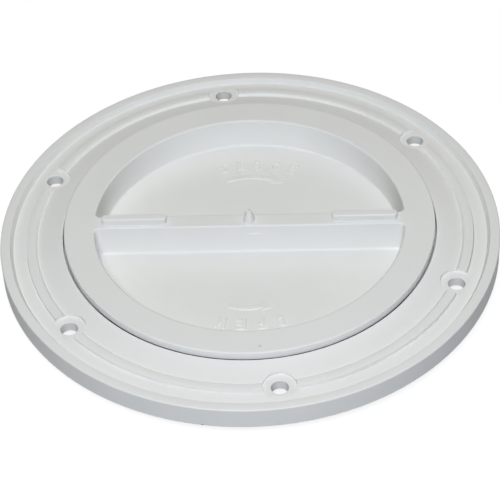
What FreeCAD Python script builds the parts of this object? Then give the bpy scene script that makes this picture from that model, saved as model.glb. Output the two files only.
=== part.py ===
import FreeCAD, Part
import math
import os
from FreeCAD import Vector

# A round screw-in inspection cover for a deck, in millimetres.
# The origin is the centre of the flange's underside, where it lies on the deck, and +Z is up.
# One screw hole lies on +Y. The lid is shown screwed right down.

# Widths, from the clear opening outwards
clear_radius = 50.8
thread_depth = 2.0
thread_gap = 0.5
neck_wall = 2.2
seat_width = 2.9
lid_gap = 0.45
land_width = 8.1
bead_width = 2.9
groove_width = 4.95
rim_width = 2.9

# Flange heights, from the deck's surface
flange_height = 6.65
edge_round = 0.45
rim_crown = 0.06
rim_fall = 0.05
groove_depth = 1.85
groove_slope = 0.45
bank_lean = 1.05
bank_round = 0.3
bank_slope_deg = 64.0
bead_drop = 0.29
bead_fall_out = 0.18
bead_fall_in = 0.09
bead_lean_out = 0.1
bead_lean_in = 0.2
bead_foot_in = 0.5
bead_slope_deg = 50.0
bead_foot_round = 0.3
land_drop = 1.1
land_foot_round = 0.25
well_lip = 0.61
lip_round = 0.25
foot_width = 3.5
neck_reach = 6.2
neck_bevel = 0.4

# Screw holes in their round pads
hole_count = 6
hole_diameter = 5.0
hole_round = 0.25
pad_diameter = 9.8
pad_drop = 1.55
pad_foot_round = 0.2
web_thickness = 3.25
hole_inset = 0.2

# Lid plate, its recess and its threaded skirt
lid_stand = 2.8
lid_flange = 2.5
lid_round = 0.45
recess_wall = 3.65
recess_depth = 9.45
recess_draft = 0.85
recess_corner = 1.7
recess_foot_round = 0.7
recess_lip_round = 0.55
floor_thickness = 2.5
skirt_wall = 2.7
skirt_reach = 5.5
skirt_bevel = 0.4
boss_inset = 0.25
closed_angle = -8.0

# Handle bar across the recess, with two raised ribs and the gate mark
bar_width = 5.35
bar_draft = 0.9
core_wall = 1.5
core_roof = 2.4
core_end = 3.0
rib_length = 19.7
rib_width = 2.6
rib_height = 2.15
rib_end = 2.25
rib_round = 0.5
gate_radius = 1.95
gate_tip_radius = 0.85
gate_height = 3.8

# Seal ring between the lid plate and its seat
seal_section = 2.2
seal_gap = 0.3

# Screw thread, right-handed: the lid rises by one lead in each turn anticlockwise
lead = 4.0
ridge_foot = 2.0
ridge_crest = 0.9
ridge_turns = 1.25
ridge_play = 0.25
neck_ridge_start = 2.2
skirt_ridge_start = 1.6
ridge_root = 0.3

# Radii that follow from the widths
skirt_radius = clear_radius - thread_gap
bore_radius = clear_radius + thread_depth
neck_radius = bore_radius + neck_wall
lid_radius = bore_radius + seat_width
well_radius = lid_radius + lid_gap
bead_inner = well_radius + land_width
bead_outer = bead_inner + bead_width
rim_inner = bead_outer + groove_width
flange_radius = rim_inner + rim_width
hole_circle_radius = (bead_inner + bead_outer) / 2 - hole_inset
recess_radius = skirt_radius - recess_wall
skirt_inner = skirt_radius - skirt_wall

# Heights that follow from the flange
lid_top = flange_height + lid_stand
plate_bottom = lid_top - lid_flange
seat_z = plate_bottom - seal_section - 2 * seal_gap
recess_floor = lid_top - recess_depth
floor_bottom = recess_floor - floor_thickness
pad_z = flange_height - pad_drop
pocket_z = pad_z - web_thickness
neck_bottom = -neck_reach
skirt_bottom = -skirt_reach

# The boss that the seal ring is stretched round
boss_radius = bore_radius - boss_inset
boss_bottom = seat_z + 2 * seal_gap
seal_radius = boss_radius + seal_gap + seal_section / 2

margin = 1.0
same_point = 1e-6
up = Vector(0, 0, 1)


def arc(a, b, c):
    """An edge through three points of the (radius, height) plane."""
    return Part.Arc(Vector(a[0], 0, a[1]), Vector(b[0], 0, b[1]), Vector(c[0], 0, c[1])).toShape()


def line(a, b):
    """A straight edge between two points of the (radius, height) plane."""
    return Part.makeLine(Vector(a[0], 0, a[1]), Vector(b[0], 0, b[1]))


def corner(centre, radius, start_deg, end_deg):
    """A rounded corner: an arc about its centre in the (radius, height) plane, with its two end points."""
    def at(deg):
        turn = math.radians(deg)
        return (centre[0] + radius * math.cos(turn), centre[1] + radius * math.sin(turn))
    start, end = at(start_deg), at(end_deg)
    return arc(start, at((start_deg + end_deg) / 2), end), start, end


def bowed(a, b, c):
    """An arc through three points, with its two end points."""
    return arc(a, b, c), a, c


def turned(edges):
    """A closed outline turned once round the Z axis."""
    face = Part.Face(Part.Wire(Part.sortEdges(edges)[0]))
    return face.revolve(Vector(0, 0, 0), up, 360)


def path(*items):
    """Joins points and ready-made corners, each (edge, start, end), into one closed list of edges."""
    edges = []
    first = None
    last = None
    for item in items:
        is_corner = len(item) == 3
        start = item[1] if is_corner else item
        if last is not None and math.dist(last, start) > same_point:
            edges.append(line(last, start))
        if is_corner:
            edges.append(item[0])
        first = first or start
        last = item[2] if is_corner else item
    edges.append(line(last, first))
    return edges


def ridge(foot_radius, crest_radius, start_height):
    """One thread ridge as a helical bar with a tapered section, standing on foot_radius."""
    taper = (ridge_foot - ridge_crest) / 2 / thread_depth
    root_radius = foot_radius - math.copysign(ridge_root, crest_radius - foot_radius)
    root_half = ridge_foot / 2 + ridge_root * taper
    crest_half = ridge_crest / 2
    corners = [
        Vector(root_radius, 0, -root_half),
        Vector(crest_radius, 0, -crest_half),
        Vector(crest_radius, 0, crest_half),
        Vector(root_radius, 0, root_half),
    ]
    profile = Part.makePolygon(corners + [corners[0]])
    spine = Part.makeHelix(lead, lead * ridge_turns, foot_radius)
    guide = Part.makeHelix(lead, lead * ridge_turns, foot_radius + thread_depth)
    sweep = Part.BRepOffsetAPI.MakePipeShell(Part.Wire(spine.Edges))
    sweep.setAuxiliarySpine(Part.Wire(guide.Edges), True, 0)
    sweep.add(profile)
    sweep.build()
    sweep.makeSolid()
    solid = Part.Solid(sweep.shape())
    solid.translate(Vector(0, 0, start_height))
    return solid


def pad_cutter():
    """The tool that leaves one flat round pad and its screw hole, standing on the Z axis."""
    hole_radius = hole_diameter / 2
    pad_radius = pad_diameter / 2
    lip = corner((hole_radius + hole_round, pad_z - hole_round), hole_round, 180, 90)
    foot = corner((pad_radius - pad_foot_round, pad_z + pad_foot_round), pad_foot_round, 270, 360)
    top = lid_top + margin
    return turned(path((0, -margin), (hole_radius, -margin), lip, foot, (pad_radius, top), (0, top)))


def make_deck_ring():
    """The flange with its well, grooves and screw pads, and the neck with the inner thread."""
    outer_top = corner((flange_radius - edge_round, flange_height - edge_round), edge_round, 0, 90)
    rim = bowed((flange_radius - edge_round, flange_height),
                ((flange_radius + rim_inner) / 2, flange_height + rim_crown),
                (rim_inner, flange_height - rim_fall))
    groove_z = flange_height - groove_depth
    bank = corner((rim_inner - bank_lean, groove_z + bank_round), bank_round, 270 + bank_slope_deg, 270)
    bead_foot = corner((bead_outer + bead_foot_round, groove_z + groove_slope + bead_foot_round),
                       bead_foot_round, 270, 180)
    bead_z = flange_height - bead_drop
    bead = bowed((bead_outer - bead_lean_out, bead_z - bead_fall_out),
                 ((bead_inner + bead_outer) / 2, bead_z),
                 (bead_inner + bead_lean_in, bead_z - bead_fall_in))
    land_z = flange_height - land_drop
    land_foot = corner((bead_inner - bead_foot_in, land_z + land_foot_round),
                       land_foot_round, 270 + bead_slope_deg, 270)
    lip_z = flange_height + well_lip
    lip_top = corner((well_radius + lip_round, lip_z - lip_round), lip_round, 90, 180)
    body = turned(path(
        (flange_radius, 0),
        outer_top,
        rim,
        bank,
        bead_foot,
        bead,
        land_foot,
        lip_top,
        (well_radius, seat_z),
        (bore_radius, seat_z),
        (bore_radius, neck_bottom + neck_bevel),
        (bore_radius + neck_bevel, neck_bottom),
        (neck_radius - neck_bevel, neck_bottom),
        (neck_radius, neck_bottom + neck_bevel),
        (neck_radius, 0),
        (neck_radius + foot_width, 0),
        (neck_radius + foot_width, pocket_z),
        (flange_radius - foot_width, pocket_z),
        (flange_radius - foot_width, 0),
    ))
    body = body.fuse(ridge(bore_radius, clear_radius, neck_bottom + neck_ridge_start))
    cutters = []
    for n in range(hole_count):
        cutter = pad_cutter()
        cutter.translate(Vector(0, hole_circle_radius, 0))
        cutter.rotate(Vector(0, 0, 0), up, n * 360.0 / hole_count)
        cutters.append(cutter)
    return body.cut(cutters)


def half_moon(height, radius, chord):
    """The outline of one recess pocket at a height: a circle cut off by the bar, with rounded corners."""
    reach = math.sqrt((radius - recess_corner) ** 2 - (chord + recess_corner) ** 2)
    scale = radius / (radius - recess_corner)
    tip = (reach * scale, (chord + recess_corner) * scale)
    turn = math.atan2(chord + recess_corner, reach)
    bend = (turn - math.pi / 2) / 2
    side = (reach + recess_corner * math.cos(bend), chord + recess_corner + recess_corner * math.sin(bend))

    def at(point, mirror=1):
        return Vector(mirror * point[0], point[1], height)

    return Part.Wire([
        Part.makeLine(at((reach, chord), -1), at((reach, chord))),
        Part.Arc(at((reach, chord)), at(side), at(tip)).toShape(),
        Part.Arc(at(tip), Vector(0, radius, height), at(tip, -1)).toShape(),
        Part.Arc(at(tip, -1), at(side, -1), at((reach, chord), -1)).toShape(),
    ])


def pocket_cutter():
    """The tool for the half of the recess on the +Y side, with drafted walls and a rounded foot."""
    top = lid_top + margin
    rise = (top - recess_floor) / recess_depth
    upper = half_moon(top, recess_radius + recess_draft * (rise - 1), bar_width / 2 - bar_draft * (rise - 1))
    lower = half_moon(recess_floor, recess_radius - recess_draft, bar_width / 2 + bar_draft)
    tool = Part.makeLoft([upper, lower], True, True)
    foot = [e for e in tool.Edges if abs(e.BoundBox.ZMax - recess_floor) < 1e-4]
    return tool.makeFillet(recess_foot_round, foot)


def rib():
    """One raised rib with round ends, lying along X and centred on the Z axis."""
    half = rib_length / 2 - rib_width / 2
    side = rib_width / 2
    root = lid_top - margin

    def at(x, y):
        return Vector(x, y, root)

    outline = Part.Wire([
        Part.makeLine(at(-half, -side), at(half, -side)),
        Part.Arc(at(half, -side), at(half + side, 0), at(half, side)).toShape(),
        Part.makeLine(at(half, side), at(-half, side)),
        Part.Arc(at(-half, side), at(-half - side, 0), at(-half, -side)).toShape(),
    ])
    solid = Part.Face(outline).extrude(Vector(0, 0, rib_height + margin))
    top = [e for e in solid.Edges if e.BoundBox.ZMin > lid_top + rib_height - 1e-4]
    return solid.makeFillet(rib_round, top)


def skirt_ridge():
    """The lid's thread, in mesh just under the neck's, so that tightening pulls the lid down."""
    overlap = (thread_depth - thread_gap) / thread_depth
    half_widths = ridge_crest + (ridge_foot - ridge_crest) / 2 * overlap
    in_mesh = neck_bottom + neck_ridge_start - half_widths - ridge_play
    start = skirt_bottom + skirt_ridge_start
    solid = ridge(skirt_radius, skirt_radius + thread_depth, start)
    solid.rotate(Vector(0, 0, 0), up, 360.0 * (start - in_mesh) / lead)
    return solid


def make_lid():
    """The lid plate with its recess and handle bar, and the skirt with the outer thread."""
    plate_edge = corner((lid_radius - lid_round, lid_top - lid_round), lid_round, 0, 90)
    blank = turned(path(
        (0, floor_bottom),
        (skirt_inner, floor_bottom),
        (skirt_inner, skirt_bottom),
        (skirt_radius - skirt_bevel, skirt_bottom),
        (skirt_radius, skirt_bottom + skirt_bevel),
        (skirt_radius, boss_bottom),
        (boss_radius, boss_bottom),
        (boss_radius, plate_bottom),
        (lid_radius, plate_bottom),
        plate_edge,
        (0, lid_top),
    ))
    pocket = pocket_cutter()
    opposite = pocket.copy()
    opposite.rotate(Vector(0, 0, 0), up, 180)
    body = blank.cut([pocket, opposite])
    lips = [e for e in body.Edges
            if abs(e.BoundBox.ZMin - lid_top) < 1e-4 and abs(e.BoundBox.ZMax - lid_top) < 1e-4
            and e.BoundBox.XMax < recess_radius + 1e-3 and e.BoundBox.XMin > -recess_radius - 1e-3]
    body = body.makeFillet(recess_lip_round, lips)

    core_width = bar_width - 2 * core_wall
    core_length = 2 * (recess_radius - core_end)
    core_top = lid_top - core_roof
    core = Part.makeBox(core_length, core_width, core_top - floor_bottom + margin,
                        Vector(-core_length / 2, -core_width / 2, floor_bottom - margin))
    body = body.cut(core)

    rib_centre = recess_radius - rib_end - rib_length / 2
    ribs = []
    for side in (-1, 1):
        one = rib()
        one.translate(Vector(side * rib_centre, 0, 0))
        ribs.append(one)
    gate = Part.makeCone(gate_radius, gate_tip_radius, gate_height + margin / 2,
                         Vector(0, 0, lid_top - margin / 2))
    body = body.fuse(ribs + [gate])
    body.rotate(Vector(0, 0, 0), up, closed_angle)
    return body.fuse(skirt_ridge())


def make_seal_ring():
    """The rubber ring under the lid plate."""
    return Part.makeTorus(seal_radius, seal_section / 2, Vector(0, 0, seat_z + seal_gap + seal_section / 2))


os.makedirs("parts", exist_ok=True)
for name, shape in (
    ("deck_ring", make_deck_ring()),
    ("lid", make_lid()),
    ("seal_ring", make_seal_ring()),
):
    shape.exportStep("parts/" + name + ".step")
    print(name, shape.ShapeType, "solids", len(shape.Solids), "valid", shape.isValid(),
          "volume", round(shape.Volume, 1), "box", shape.BoundBox)
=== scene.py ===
import math
import bmesh
import bpy
from mathutils import Matrix, Vector


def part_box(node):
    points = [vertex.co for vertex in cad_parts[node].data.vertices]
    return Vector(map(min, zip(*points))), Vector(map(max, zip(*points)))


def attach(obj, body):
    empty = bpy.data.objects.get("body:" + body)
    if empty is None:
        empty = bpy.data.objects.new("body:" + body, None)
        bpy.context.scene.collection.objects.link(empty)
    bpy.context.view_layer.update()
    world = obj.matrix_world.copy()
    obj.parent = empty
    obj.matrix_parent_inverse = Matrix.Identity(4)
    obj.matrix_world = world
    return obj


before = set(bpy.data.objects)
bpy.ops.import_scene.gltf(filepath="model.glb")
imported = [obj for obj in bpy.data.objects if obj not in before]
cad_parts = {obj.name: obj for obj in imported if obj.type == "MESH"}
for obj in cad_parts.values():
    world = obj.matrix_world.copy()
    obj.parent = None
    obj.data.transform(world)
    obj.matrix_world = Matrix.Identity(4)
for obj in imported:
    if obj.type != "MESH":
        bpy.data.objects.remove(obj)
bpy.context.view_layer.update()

MM = 0.001

# The photograph's camera, in degrees and millimetres
CAMERA_AZIMUTH = -5.44
CAMERA_ELEVATION = 42.97
CAMERA_ROLL = -2.854
CAMERA_DISTANCE = 623.12
CAMERA_LENS = 150.9
AIM_RIGHT = -0.18
AIM_AHEAD = -10.20
RIM_HEIGHT = 6.6

# Soft boxes: how far off they stand and how wide they are, in metres
LIGHT_DISTANCE = 0.85
SMALL_BOX = 0.15
LARGE_BOX = 0.4

# The lamps: name, degrees to the right of the camera, degrees up, width, watts, colour
LAMPS = (
    ("front_key", 0, 50, SMALL_BOX, 3.83, (0.818, 0.87, 1.0)),
    ("left_key", 345, 50, SMALL_BOX, 1.48, (0.959, 1.0, 0.838)),
    ("high_key", 0, 65, SMALL_BOX, 0.59, (1.0, 0.924, 0.818)),
    ("low_front", 0, 12, SMALL_BOX, 0.40, (0.818, 0.818, 1.0)),
    ("rear_high", 180, 65, LARGE_BOX, 1.06, (1.0, 0.938, 0.818)),
    ("right_rear", 120, 40, LARGE_BOX, 0.50, (1.0, 0.981, 0.818)),
)

# The floor: its half width in metres, what it throws back, and how much of its shading the camera sees
FLOOR_REACH = 3.0
FLOOR_TONE = 0.36
FLOOR_GLOW = 0.86
FLOOR_SHADE = 0.24

# The world is white to the camera and gives no light of its own
WORLD_SEEN = 1.0
WORLD_LIGHT = 0.0

# How the lid is turned when it is screwed down
CLOSED_ANGLE = -8.0

# The white plastic: its colour, the same a little darker for its mottle, and how rough it is
WHITE = (0.80, 0.80, 0.79)
WHITE_SHADE = (0.785, 0.785, 0.772)
ROUGH_LOW = 0.56
ROUGH_HIGH = 0.68

# Small marks: centre and reach along X, Y and Z in millimetres, colour, strength. Each is at full strength
# up to MARK_CORE of its reach and fades out from there.
MARK_CORE = 0.3
BROWN = (0.42, 0.38, 0.30)
GREY = (0.08, 0.08, 0.08)
# A paler white, used only for a painted highlight.
PAINTED_HIGHLIGHT = (0.95, 0.96, 0.96)
LID_MARKS = (
    ((-3.79, -52.93, 9.45), (0.75, 0.6, 0.5), BROWN, 0.45),
    # Painted shade: a darker spot on the gate's tip stands in for the shade in a small dimple there.
    ((0.25, 0.3, 13.25), (0.5, 0.5, 0.4), GREY, 0.3),
    # Painted highlight: a pale line on the bar's front face stands in for light caught by a small moulded
    # line.
    ((1.1, -3.2, 6.55), (3.4, 0.9, 0.3), PAINTED_HIGHLIGHT, 0.9),
)
RING_MARKS = (
    ((-22.67, -71.5, 0.1), (0.5, 0.5, 0.35), GREY, 0.9),
)

# Raised words and arrows on the recess floor, in millimetres and in degrees of the lid. CAP_SHARE is a
# capital's height as a share of the font's size. Each letter has its angle. An arrow is its radius, the
# angles of its tail, neck and tip, and the tip's radius.
RELIEF_HEIGHT = 0.32
RELIEF_ROUND = 0.2
RELIEF_SUNK = 0.25
RELIEF_EDGE_STEPS = 2
WELD_DISTANCE = 0.002
SHARP_ANGLE = 40.0
CAP_SHARE = 0.729
LETTER_HEIGHT = 4.1
LETTER_WIDTH = 2.85
LETTER_SWELL = 0.10
LETTER_CURVE_STEPS = 6
CLOSE_RADIUS = 35.9
CLOSE_LETTERS = (("C", 104.8), ("L", 95.0), ("O", 87.3), ("S", 78.3), ("E", 69.0))
OPEN_RADIUS = 34.9
OPEN_LETTERS = (("O", -74.6), ("P", -84.3), ("E", -93.6), ("N", -103.2))
ARROW_WIDTH = 1.3
ARROW_HEAD_WIDTH = 3.2
ARROW_BOW = 0.6
ARROW_STEPS = 24
CLOSE_ARROW = (30.3, 104.5, 77.0, 71.0, 29.1)
OPEN_ARROW = (28.2, -102.0, -82.5, -77.0, 28.7)

# The neck's lower end stands on the floor
FLOOR_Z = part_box("deck_ring")[0].z


def camera_axes():
    """The camera's right, up and backward directions."""
    a, e = math.radians(CAMERA_AZIMUTH), math.radians(CAMERA_ELEVATION)
    back = Vector((math.sin(a) * math.cos(e), -math.cos(a) * math.cos(e), math.sin(e)))
    right = Vector((math.cos(a), math.sin(a), 0))
    up = back.cross(right)
    roll = math.radians(CAMERA_ROLL)
    return (right * math.cos(roll) + up * math.sin(roll),
            up * math.cos(roll) - right * math.sin(roll),
            back)


def make_camera():
    """A long lens aimed a little in front of the cover's centre."""
    data = bpy.data.cameras.new("camera")
    data.lens = CAMERA_LENS
    data.sensor_width = 36.0
    data.clip_start = 0.01
    data.clip_end = 20.0
    camera = bpy.data.objects.new("camera", data)
    bpy.context.scene.collection.objects.link(camera)
    right, up, back = camera_axes()
    turn = math.radians(CAMERA_AZIMUTH)
    level_right = Vector((math.cos(turn), math.sin(turn), 0))
    level_ahead = Vector((-level_right.y, level_right.x, 0))
    aim = (level_right * AIM_RIGHT + level_ahead * AIM_AHEAD + Vector((0, 0, RIM_HEIGHT))) * MM
    place = aim + back * (CAMERA_DISTANCE * MM)
    axes = Matrix((right, up, back)).transposed().to_4x4()
    camera.matrix_world = Matrix.Translation(place) @ axes
    bpy.context.scene.camera = camera


def soft_box(name, azimuth, elevation, size, power, colour):
    """A square lamp that faces the cover's centre. Its azimuth is counted to the right of the camera's."""
    a, e = math.radians(azimuth + CAMERA_AZIMUTH), math.radians(elevation)
    place = Vector((math.sin(a) * math.cos(e), -math.cos(a) * math.cos(e), math.sin(e))) * LIGHT_DISTANCE
    data = bpy.data.lights.new(name, "AREA")
    data.shape = "SQUARE"
    data.size = size
    data.energy = power
    data.color = colour
    light = bpy.data.objects.new(name, data)
    bpy.context.scene.collection.objects.link(light)
    light.location = place
    light.rotation_mode = "QUATERNION"
    light.rotation_quaternion = place.to_track_quat("Z", "Y")


class Nodes:
    """Adds nodes to one node tree and links them by name."""

    def __init__(self, owner):
        owner.use_nodes = True
        self.tree = owner.node_tree

    def add(self, kind, **settings):
        node = self.tree.nodes.new(kind)
        for key, value in settings.items():
            if hasattr(node, key):
                setattr(node, key, value)
            else:
                node.inputs[key.replace("_", " ")].default_value = value
        return node

    def link(self, source, out, target, into):
        self.tree.links.new(source.outputs[out], target.inputs[into])

    def find(self, kind):
        return next(n for n in self.tree.nodes if n.bl_idname == kind)


def stain_or_painted_light(nodes, place, tint, mark):
    """Lays one small soft mark over a tint: a stain, or a spot of painted shade or of painted highlight.
    """
    centre, reach, colour, strength = mark
    shift = nodes.add("ShaderNodeVectorMath", operation="SUBTRACT")
    shift.inputs[1].default_value = [c * MM for c in centre]
    scale = nodes.add("ShaderNodeVectorMath", operation="DIVIDE")
    scale.inputs[1].default_value = [r * MM for r in reach]
    span = nodes.add("ShaderNodeVectorMath", operation="LENGTH")
    fade = nodes.add("ShaderNodeMapRange", interpolation_type="SMOOTHSTEP")
    fade.inputs["From Min"].default_value = MARK_CORE
    fade.inputs["To Min"].default_value = strength
    fade.inputs["To Max"].default_value = 0.0
    over = nodes.add("ShaderNodeMixRGB", Color2=(*colour, 1))
    nodes.link(place, "Object", shift, 0)
    nodes.link(shift, "Vector", scale, 0)
    nodes.link(scale, "Vector", span, 0)
    nodes.link(span, "Value", fade, "Value")
    nodes.link(fade, "Result", over, "Fac")
    nodes.link(tint, "Color", over, "Color1")
    return over


def plastic(name, marks):
    """White moulded plastic: satin, with a fine grain, a faint mottle, uneven gloss and small marks, among
    them painted shade and a painted highlight.
    """
    material = bpy.data.materials.new(name)
    nodes = Nodes(material)
    shader = nodes.find("ShaderNodeBsdfPrincipled")
    place = nodes.add("ShaderNodeTexCoord")
    mottle = nodes.add("ShaderNodeTexNoise", Scale=55.0, Detail=3.0, Roughness=0.55)
    tint = nodes.add("ShaderNodeValToRGB")
    tint.color_ramp.elements[0].position = 0.30
    tint.color_ramp.elements[0].color = (*WHITE_SHADE, 1)
    tint.color_ramp.elements[1].position = 0.62
    tint.color_ramp.elements[1].color = (*WHITE, 1)
    sheen = nodes.add("ShaderNodeTexNoise", Scale=180.0, Detail=2.0)
    gloss = nodes.add("ShaderNodeMapRange")
    gloss.inputs["To Min"].default_value = ROUGH_LOW
    gloss.inputs["To Max"].default_value = ROUGH_HIGH
    grain = nodes.add("ShaderNodeTexNoise", Scale=2600.0, Detail=2.0)
    ripple = nodes.add("ShaderNodeTexNoise", Scale=90.0, Detail=1.0)
    bump = nodes.add("ShaderNodeBump", Strength=0.10, Distance=0.00006)
    wave = nodes.add("ShaderNodeBump", Strength=0.35, Distance=0.00004)
    for texture in (mottle, sheen, grain, ripple):
        nodes.link(place, "Object", texture, "Vector")
    nodes.link(mottle, "Fac", tint, "Fac")
    for mark in marks:
        tint = stain_or_painted_light(nodes, place, tint, mark)
    nodes.link(tint, "Color", shader, "Base Color")
    nodes.link(sheen, "Fac", gloss, "Value")
    nodes.link(gloss, "Result", shader, "Roughness")
    nodes.link(ripple, "Fac", wave, "Height")
    nodes.link(wave, "Normal", bump, "Normal")
    nodes.link(grain, "Fac", bump, "Height")
    nodes.link(bump, "Normal", shader, "Normal")
    return material


def rubber(name):
    """Black moulded rubber, dull and slightly dusty."""
    material = bpy.data.materials.new(name)
    nodes = Nodes(material)
    shader = nodes.find("ShaderNodeBsdfPrincipled")
    place = nodes.add("ShaderNodeTexCoord")
    dust = nodes.add("ShaderNodeTexNoise", Scale=400.0, Detail=4.0)
    tint = nodes.add("ShaderNodeValToRGB")
    tint.color_ramp.elements[0].position = 0.35
    tint.color_ramp.elements[0].color = (0.018, 0.018, 0.018, 1)
    tint.color_ramp.elements[1].position = 0.75
    tint.color_ramp.elements[1].color = (0.035, 0.034, 0.033, 1)
    bump = nodes.add("ShaderNodeBump", Strength=0.2, Distance=0.00005)
    nodes.link(place, "Object", dust, "Vector")
    nodes.link(dust, "Fac", tint, "Fac")
    nodes.link(tint, "Color", shader, "Base Color")
    nodes.link(dust, "Fac", bump, "Height")
    nodes.link(bump, "Normal", shader, "Normal")
    shader.inputs["Roughness"].default_value = 0.62
    return material


def dress(node, material):
    """Gives a CAD node its material."""
    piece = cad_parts[node]
    piece.data.materials.clear()
    piece.data.materials.append(material)


def seen_by_eye(nodes):
    """A factor that is 1 for rays from the camera and for reflected and refracted ones."""
    path = nodes.add("ShaderNodeLightPath")
    pair = nodes.add("ShaderNodeMath", operation="MAXIMUM")
    either = nodes.add("ShaderNodeMath", operation="MAXIMUM")
    nodes.link(path, "Is Camera Ray", pair, 0)
    nodes.link(path, "Is Glossy Ray", pair, 1)
    nodes.link(pair, 0, either, 0)
    nodes.link(path, "Is Transmission Ray", either, 1)
    return either


def make_floor():
    """A plain pale floor that looks white and keeps the cover's soft shadow."""
    mesh = bpy.data.meshes.new("floor")
    square = ((-1, -1), (1, -1), (1, 1), (-1, 1))
    corners = [(x * FLOOR_REACH, y * FLOOR_REACH, FLOOR_Z) for x, y in square]
    mesh.from_pydata(corners, [], [(0, 1, 2, 3)])
    floor = bpy.data.objects.new("floor", mesh)
    bpy.context.scene.collection.objects.link(floor)
    material = bpy.data.materials.new("floor")
    nodes = Nodes(material)
    nodes.tree.nodes.remove(nodes.find("ShaderNodeBsdfPrincipled"))
    plain = nodes.add("ShaderNodeBsdfDiffuse", Color=(FLOOR_TONE, FLOOR_TONE, FLOOR_TONE, 1))
    shaded = nodes.add("ShaderNodeBsdfDiffuse", Color=(FLOOR_SHADE, FLOOR_SHADE, FLOOR_SHADE, 1))
    glow = nodes.add("ShaderNodeEmission", Color=(1, 1, 1, 1), Strength=FLOOR_GLOW)
    both = nodes.add("ShaderNodeAddShader")
    mix = nodes.add("ShaderNodeMixShader")
    eye = seen_by_eye(nodes)
    nodes.link(shaded, 0, both, 0)
    nodes.link(glow, 0, both, 1)
    nodes.link(eye, 0, mix, 0)
    nodes.link(plain, 0, mix, 1)
    nodes.link(both, 0, mix, 2)
    nodes.link(mix, 0, nodes.find("ShaderNodeOutputMaterial"), "Surface")
    mesh.materials.append(material)


def make_world():
    """White to the eye and in reflections, and dark for everything else."""
    world = bpy.data.worlds.new("world")
    bpy.context.scene.world = world
    nodes = Nodes(world)
    dim = nodes.find("ShaderNodeBackground")
    dim.inputs["Color"].default_value = (1, 1, 1, 1)
    dim.inputs["Strength"].default_value = WORLD_LIGHT
    white = nodes.add("ShaderNodeBackground", Color=(1, 1, 1, 1), Strength=WORLD_SEEN)
    mix = nodes.add("ShaderNodeMixShader")
    eye = seen_by_eye(nodes)
    nodes.link(eye, 0, mix, 0)
    nodes.link(dim, 0, mix, 1)
    nodes.link(white, 0, mix, 2)
    nodes.link(mix, 0, nodes.find("ShaderNodeOutputWorld"), "Surface")


def lid_point(radius, degrees):
    """A place on the lid, in metres, from a radius in millimetres and an angle of the lid."""
    turn = math.radians(degrees + CLOSED_ANGLE)
    return Vector((radius * math.cos(turn), radius * math.sin(turn), 0)) * MM


def floor_height(point):
    """The height of the recess floor under a place on the lid."""
    above = Vector((point.x, point.y, 1.0))
    _, place, _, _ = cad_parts["lid"].ray_cast(above, Vector((0, 0, -1)))
    return place.z


def raise_outline(data):
    """Gives a flat outline its height and its rounded upper edge, and returns it as a mesh."""
    thickness = (RELIEF_HEIGHT + RELIEF_SUNK) * MM
    data.bevel_depth = RELIEF_ROUND * MM
    data.bevel_resolution = RELIEF_EDGE_STEPS
    data.extrude = thickness / 2 - data.bevel_depth
    holder = bpy.data.objects.new("outline", data)
    bpy.context.scene.collection.objects.link(holder)
    bpy.context.view_layer.update()
    mesh = bpy.data.meshes.new_from_object(holder.evaluated_get(bpy.context.evaluated_depsgraph_get()))
    bpy.data.objects.remove(holder)
    return mesh


def letter_mesh(letter):
    """One plain capital, centred on its own middle, with its foot towards -Y."""
    data = bpy.data.curves.new("letter", "FONT")
    data.body = letter
    data.size = LETTER_HEIGHT * MM / CAP_SHARE
    data.offset = LETTER_SWELL * MM
    data.resolution_u = LETTER_CURVE_STEPS
    mesh = raise_outline(data)
    xs = [v.co.x for v in mesh.vertices]
    ys = [v.co.y for v in mesh.vertices]
    mesh.transform(Matrix.Translation((-(min(xs) + max(xs)) / 2, -(min(ys) + max(ys)) / 2, 0)))
    mesh.transform(Matrix.Diagonal((LETTER_WIDTH * MM / (max(xs) - min(xs)), 1, 1, 1)))
    return mesh


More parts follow.
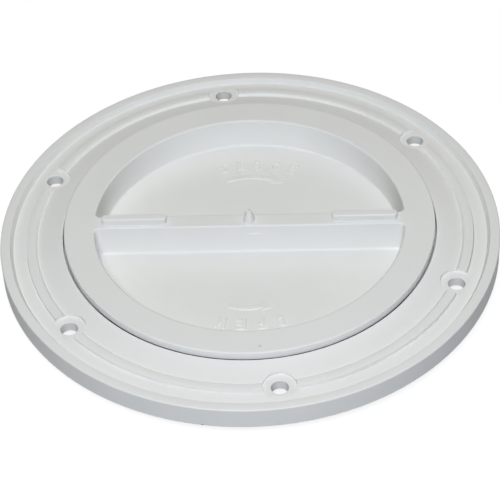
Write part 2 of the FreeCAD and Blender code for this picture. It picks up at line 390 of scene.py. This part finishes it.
def arrow_mesh(radius, tail, neck, tip, tip_radius):
    """A curved arrow: a band from tail to neck, bowed more than the lid, and a head up to the tip."""
    half = ARROW_WIDTH / 2
    head = ARROW_HEAD_WIDTH / 2
    band = []
    for i in range(ARROW_STEPS + 1):
        share = i / ARROW_STEPS
        bow = ARROW_BOW * (2 * share - 1) ** 2
        band.append((radius - bow, tail + (neck - tail) * share))
    end = radius - ARROW_BOW
    outline = [lid_point(r + half, a) for r, a in band]
    outline += [lid_point(end + head, neck), lid_point(tip_radius, tip), lid_point(end - head, neck)]
    outline += [lid_point(r - half, a) for r, a in reversed(band)]
    data = bpy.data.curves.new("arrow", "CURVE")
    data.dimensions = "2D"
    data.fill_mode = "BOTH"
    spline = data.splines.new("POLY")
    spline.points.add(len(outline) - 1)
    for point, place in zip(spline.points, outline):
        point.co = (place.x, place.y, 0, 1)
    spline.use_cyclic_u = True
    return raise_outline(data)


def relief(name, parts):
    """Joins raised outlines into one piece that rides on the lid."""
    sculpt = bmesh.new()
    for mesh, place in parts:
        mesh.transform(place)
        sculpt.from_mesh(mesh)
    bmesh.ops.remove_doubles(sculpt, verts=sculpt.verts, dist=WELD_DISTANCE * MM)
    joined = bpy.data.meshes.new(name)
    sculpt.to_mesh(joined)
    sculpt.free()
    piece = bpy.data.objects.new(name, joined)
    bpy.context.scene.collection.objects.link(piece)
    joined.materials.append(lid_white)
    for face in joined.polygons:
        face.use_smooth = True
    joined.set_sharp_from_angle(angle=math.radians(SHARP_ANGLE))
    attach(piece, "lid")


def word(name, letters, radius):
    """A word of raised capitals along an arc, with their tops outwards."""
    parts = []
    for letter, degrees in letters:
        place = lid_point(radius, degrees)
        outward = place.normalized()
        along = Vector((outward.y, -outward.x, 0))
        axes = Matrix((along, outward, Vector((0, 0, 1)))).transposed().to_4x4()
        height = floor_height(place) + (RELIEF_HEIGHT - RELIEF_SUNK) / 2 * MM
        parts.append((letter_mesh(letter), Matrix.Translation((place.x, place.y, height)) @ axes))
    relief(name, parts)


def arrow(name, radius, tail, neck, tip, tip_radius):
    """A raised arrow that shows which way to turn the lid."""
    height = floor_height(lid_point(radius, tail)) + (RELIEF_HEIGHT - RELIEF_SUNK) / 2 * MM
    outline = arrow_mesh(radius, tail, neck, tip, tip_radius)
    relief(name, [(outline, Matrix.Translation((0, 0, height)))])


make_camera()
ring_white = plastic("ring_white", RING_MARKS)
lid_white = plastic("lid_white", LID_MARKS)
dress("deck_ring", ring_white)
dress("lid", lid_white)
dress("seal_ring", rubber("black_rubber"))

word("word_close", CLOSE_LETTERS, CLOSE_RADIUS)
word("word_open", OPEN_LETTERS, OPEN_RADIUS)
arrow("arrow_close", *CLOSE_ARROW)
arrow("arrow_open", *OPEN_ARROW)

for lamp in LAMPS:
    soft_box(*lamp)
make_floor()
make_world()

bpy.context.scene.view_settings.view_transform = "Standard"
